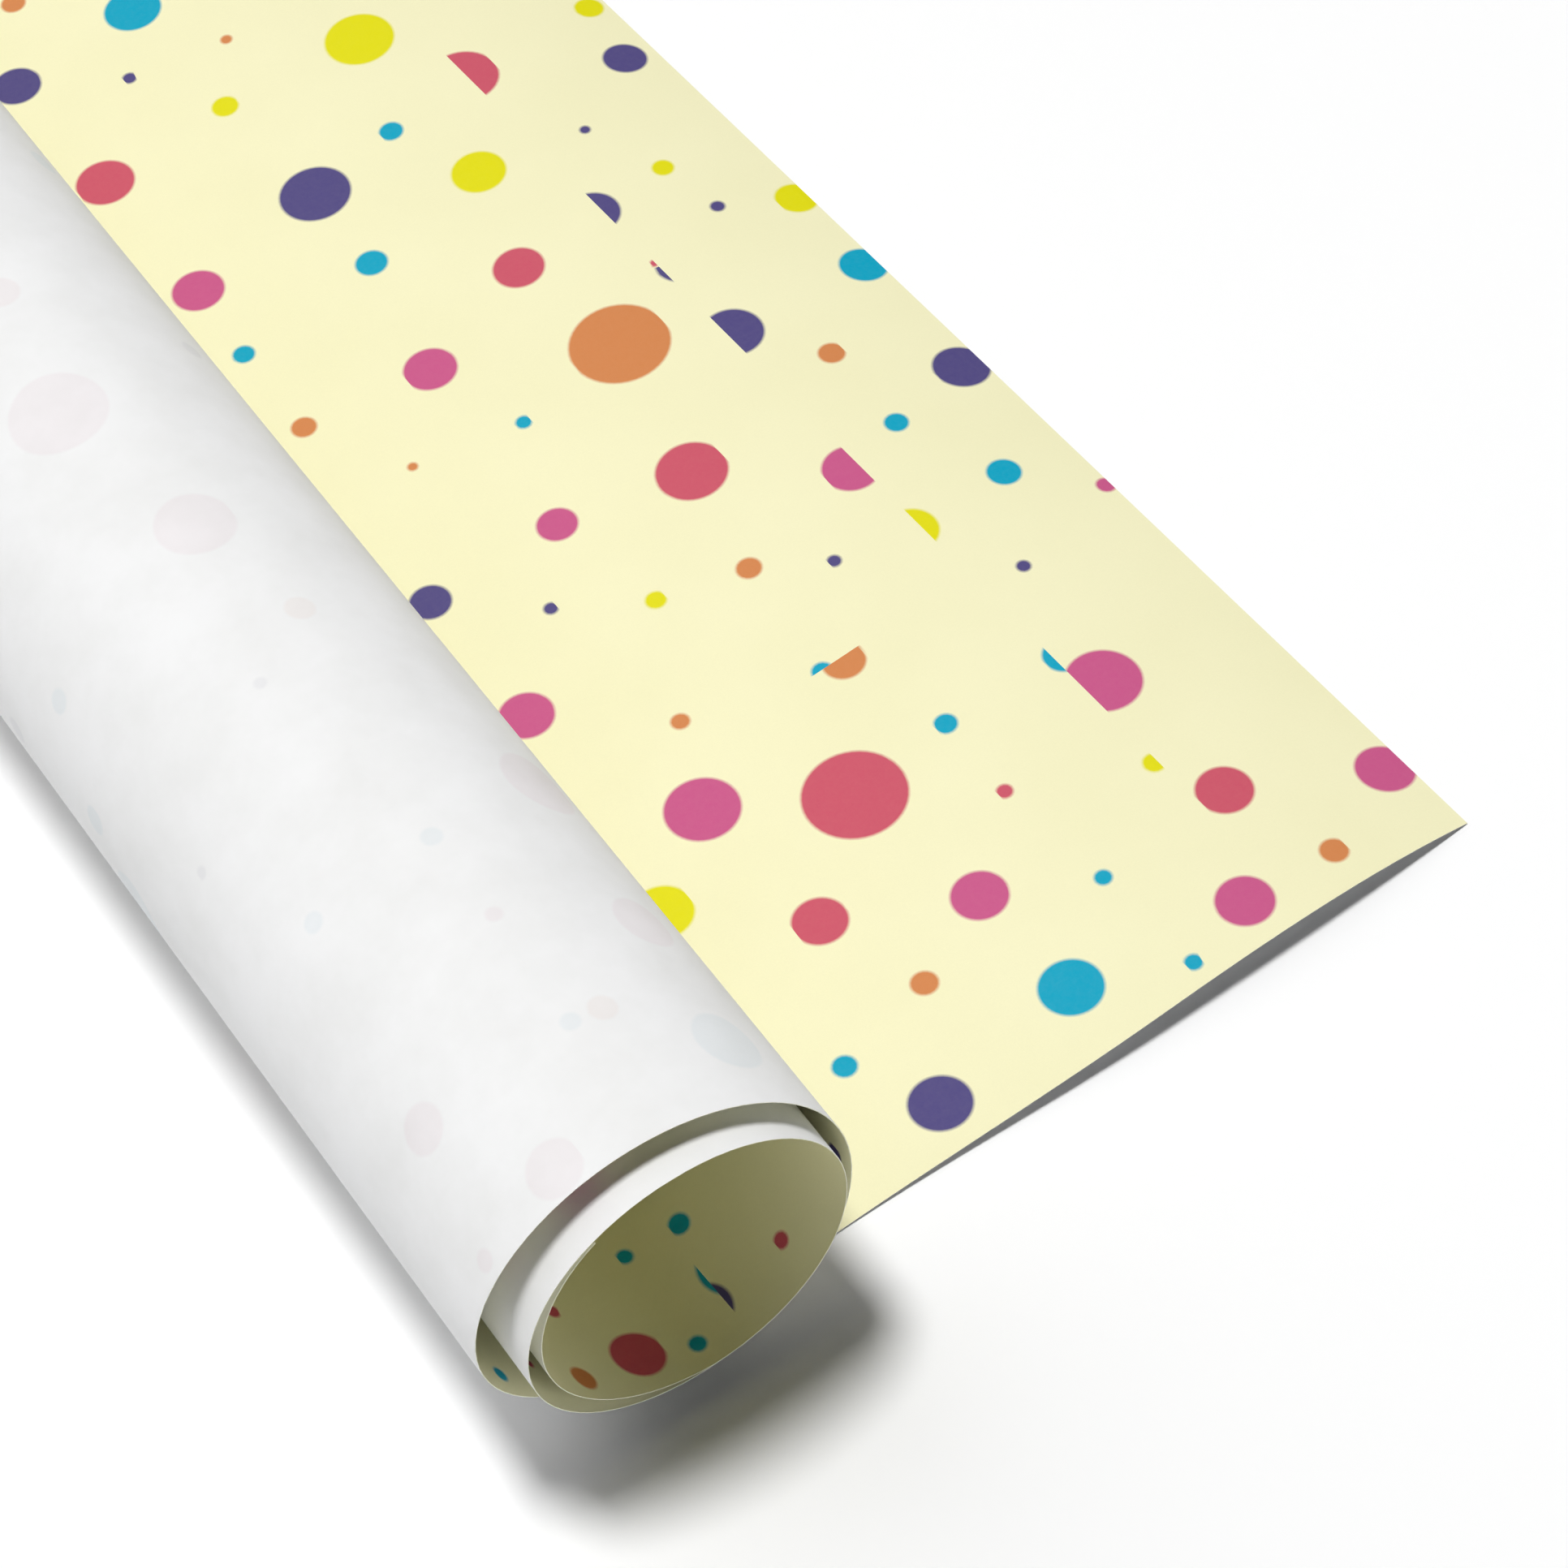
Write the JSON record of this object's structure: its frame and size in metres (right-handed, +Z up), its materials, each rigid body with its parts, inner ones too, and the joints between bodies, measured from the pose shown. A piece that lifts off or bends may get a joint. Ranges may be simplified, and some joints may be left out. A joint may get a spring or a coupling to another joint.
{
  "type": "wrapping paper roll",
  "caption": "Coreless roll of gift wrap, partly unrolled: a flat printed tail that curves up into a loose, slightly telescoped roll open at both ends.",
  "frame": {"origin": "on the table, under the middle of the whole object: centre of the bounding box in X and Y, bottom in Z", "axes": "+Y along the roll axis, away from the end whose turns stick out; +X from the roll towards the free edge of the tail; +Z up"},
  "size_m": [0.2142, 0.7168, 0.0745],
  "materials": {
    "printed_face": "coated gift-wrap paper, cream ground with dots printed in many colours, soft satin sheen",
    "plain_back": "uncoated white back of the same paper, matt, the print showing through faintly"
  },
  "bodies": {
    "contact_strip": {"contact_strip": "printed_face"},
    "tail_strip_06": {"tail_strip_06": "printed_face"},
    "tail_strip_05": {"tail_strip_05": "printed_face"},
    "tail_strip_04": {"tail_strip_04": "printed_face"},
    "tail_strip_03": {"tail_strip_03": "printed_face"},
    "tail_strip_02": {"tail_strip_02": "printed_face"},
    "tail_strip_01": {"tail_strip_01": "printed_face"},
    "lead_strip": {"lead_strip": "printed_face"},
    "outer_turn_01": {"outer_turn_01": "plain_back"},
    "outer_turn_02": {"outer_turn_02": "plain_back"},
    "outer_turn_03": {"outer_turn_03": "plain_back"},
    "outer_turn_04": {"outer_turn_04": "plain_back"},
    "outer_turn_05": {"outer_turn_05": "plain_back"},
    "outer_turn_06": {"outer_turn_06": "plain_back"},
    "outer_turn_07": {"outer_turn_07": "plain_back"},
    "outer_turn_08": {"outer_turn_08": "plain_back"},
    "outer_turn_09": {"outer_turn_09": "plain_back"},
    "outer_turn_10": {"outer_turn_10": "plain_back"},
    "outer_turn_11": {"outer_turn_11": "plain_back"},
    "inner_roll": {"outer_turn_12": "plain_back", "second_turn_01": "plain_back", "second_turn_02": "plain_back", "second_turn_03": "plain_back", "second_turn_04": "plain_back", "second_turn_05": "plain_back", "second_turn_06": "plain_back", "second_turn_07": "plain_back", "second_turn_08": "plain_back", "second_turn_09": "plain_back", "second_turn_10": "plain_back", "second_turn_11": "plain_back", "second_turn_12": "plain_back"},
    "third_turn_01": {"third_turn_01": "printed_face"},
    "third_turn_02": {"third_turn_02": "printed_face"},
    "third_turn_03": {"third_turn_03": "printed_face"},
    "third_turn_04": {"third_turn_04": "printed_face"},
    "third_turn_05": {"third_turn_05": "printed_face"}
  },
  "joints": [
    {"name": "tail_lift", "type": "hinge", "parent": "contact_strip", "child": "tail_strip_06", "pos_m": [-0.0529, 0, 0.0002], "axis": [0, -1, 0], "range_deg": [0, 12]},
    {"name": "tail_lift_02", "type": "hinge", "parent": "tail_strip_06", "child": "tail_strip_05", "pos_m": [-0.0329, 0, 0.00042], "axis": [0, -1, 0], "range_deg": [0, 12]},
    {"name": "tail_lift_03", "type": "hinge", "parent": "tail_strip_05", "child": "tail_strip_04", "pos_m": [-0.0129, 0, 0.00121], "axis": [0, -1, 0], "range_deg": [0, 12]},
    {"name": "tail_lift_04", "type": "hinge", "parent": "tail_strip_04", "child": "tail_strip_03", "pos_m": [0.0071, 0, 0.00244], "axis": [0, -1, 0], "range_deg": [0, 12]},
    {"name": "tail_lift_05", "type": "hinge", "parent": "tail_strip_03", "child": "tail_strip_02", "pos_m": [0.0271, 0, 0.00377], "axis": [0, -1, 0], "range_deg": [0, 12]},
    {"name": "tail_lift_06", "type": "hinge", "parent": "tail_strip_02", "child": "tail_strip_01", "pos_m": [0.0471, 0, 0.00477], "axis": [0, -1, 0], "range_deg": [0, 12]},
    {"name": "tail_lift_07", "type": "hinge", "parent": "tail_strip_01", "child": "lead_strip", "pos_m": [0.0671, 0, 0.00492], "axis": [0, -1, 0], "range_deg": [0, 12]},
    {"name": "unroll", "type": "hinge", "parent": "contact_strip", "child": "outer_turn_01", "pos_m": [-0.07921, 0, 0.0002], "axis": [0, -1, 0], "range_deg": [0, 30]},
    {"name": "unroll_02", "type": "hinge", "parent": "outer_turn_01", "child": "outer_turn_02", "pos_m": [-0.09687, 0, 0.01041], "axis": [0, -1, 0], "range_deg": [0, 30]},
    {"name": "unroll_03", "type": "hinge", "parent": "outer_turn_02", "child": "outer_turn_03", "pos_m": [-0.10692, 0, 0.02783], "axis": [0, -1, 0], "range_deg": [0, 30]},
    {"name": "unroll_04", "type": "hinge", "parent": "outer_turn_03", "child": "outer_turn_04", "pos_m": [-0.10692, 0, 0.04766], "axis": [0, -1, 0], "range_deg": [0, 30]},
    {"name": "unroll_05", "type": "hinge", "parent": "outer_turn_04", "child": "outer_turn_05", "pos_m": [-0.09712, 0, 0.06462], "axis": [0, -1, 0], "range_deg": [0, 30]},
    {"name": "unroll_06", "type": "hinge", "parent": "outer_turn_05", "child": "outer_turn_06", "pos_m": [-0.08038, 0, 0.07428], "axis": [0, -1, 0], "range_deg": [0, 30]},
    {"name": "unroll_07", "type": "hinge", "parent": "outer_turn_06", "child": "outer_turn_07", "pos_m": [-0.06131, 0, 0.07427], "axis": [0, -1, 0], "range_deg": [0, 30]},
    {"name": "unroll_08", "type": "hinge", "parent": "outer_turn_07", "child": "outer_turn_08", "pos_m": [-0.04505, 0, 0.06488], "axis": [0, -1, 0], "range_deg": [0, 30]},
    {"name": "unroll_09", "type": "hinge", "parent": "outer_turn_08", "child": "outer_turn_09", "pos_m": [-0.03582, 0, 0.04888], "axis": [0, -1, 0], "range_deg": [0, 30]},
    {"name": "unroll_10", "type": "hinge", "parent": "outer_turn_09", "child": "outer_turn_10", "pos_m": [-0.03583, 0, 0.03069], "axis": [0, -1, 0], "range_deg": [0, 30]},
    {"name": "unroll_11", "type": "hinge", "parent": "outer_turn_10", "child": "outer_turn_11", "pos_m": [-0.04484, 0, 0.0151], "axis": [0, -1, 0], "range_deg": [0, 30]},
    {"name": "unroll_12", "type": "hinge", "parent": "outer_turn_11", "child": "inner_roll", "pos_m": [-0.06029, 0, 0.00618], "axis": [0, -1, 0], "range_deg": [0, 30]},
    {"name": "inner_curl", "type": "hinge", "parent": "inner_roll", "child": "third_turn_01", "pos_m": [-0.07693, 0, 0.00899], "axis": [0, 1, 0], "range_deg": [0, 10]},
    {"name": "inner_curl_02", "type": "hinge", "parent": "third_turn_01", "child": "third_turn_02", "pos_m": [-0.09054, 0, 0.01686], "axis": [0, 1, 0], "range_deg": [0, 10]},
    {"name": "inner_curl_03", "type": "hinge", "parent": "third_turn_02", "child": "third_turn_03", "pos_m": [-0.09816, 0, 0.03007], "axis": [0, 1, 0], "range_deg": [0, 10]},
    {"name": "inner_curl_04", "type": "hinge", "parent": "third_turn_03", "child": "third_turn_04", "pos_m": [-0.09816, 0, 0.04491], "axis": [0, 1, 0], "range_deg": [0, 10]},
    {"name": "inner_curl_05", "type": "hinge", "parent": "third_turn_04", "child": "third_turn_05", "pos_m": [-0.09081, 0, 0.05762], "axis": [0, 1, 0], "range_deg": [0, 10]}
  ],
  "couplings": [
    {"joint": "tail_lift_02", "follows": "tail_lift", "ratio": 1},
    {"joint": "tail_lift_03", "follows": "tail_lift", "ratio": 1},
    {"joint": "tail_lift_04", "follows": "tail_lift", "ratio": 1},
    {"joint": "tail_lift_05", "follows": "tail_lift", "ratio": 1},
    {"joint": "tail_lift_06", "follows": "tail_lift", "ratio": 1},
    {"joint": "tail_lift_07", "follows": "tail_lift", "ratio": 1},
    {"joint": "unroll_02", "follows": "unroll", "ratio": 1},
    {"joint": "unroll_03", "follows": "unroll", "ratio": 1},
    {"joint": "unroll_04", "follows": "unroll", "ratio": 1},
    {"joint": "unroll_05", "follows": "unroll", "ratio": 1},
    {"joint": "unroll_06", "follows": "unroll", "ratio": 1},
    {"joint": "unroll_07", "follows": "unroll", "ratio": 1},
    {"joint": "unroll_08", "follows": "unroll", "ratio": 1},
    {"joint": "unroll_09", "follows": "unroll", "ratio": 1},
    {"joint": "unroll_10", "follows": "unroll", "ratio": 1},
    {"joint": "unroll_11", "follows": "unroll", "ratio": 1},
    {"joint": "unroll_12", "follows": "unroll", "ratio": 1},
    {"joint": "inner_curl_02", "follows": "inner_curl", "ratio": 1},
    {"joint": "inner_curl_03", "follows": "inner_curl", "ratio": 1},
    {"joint": "inner_curl_04", "follows": "inner_curl", "ratio": 1},
    {"joint": "inner_curl_05", "follows": "inner_curl", "ratio": 1}
  ]
}
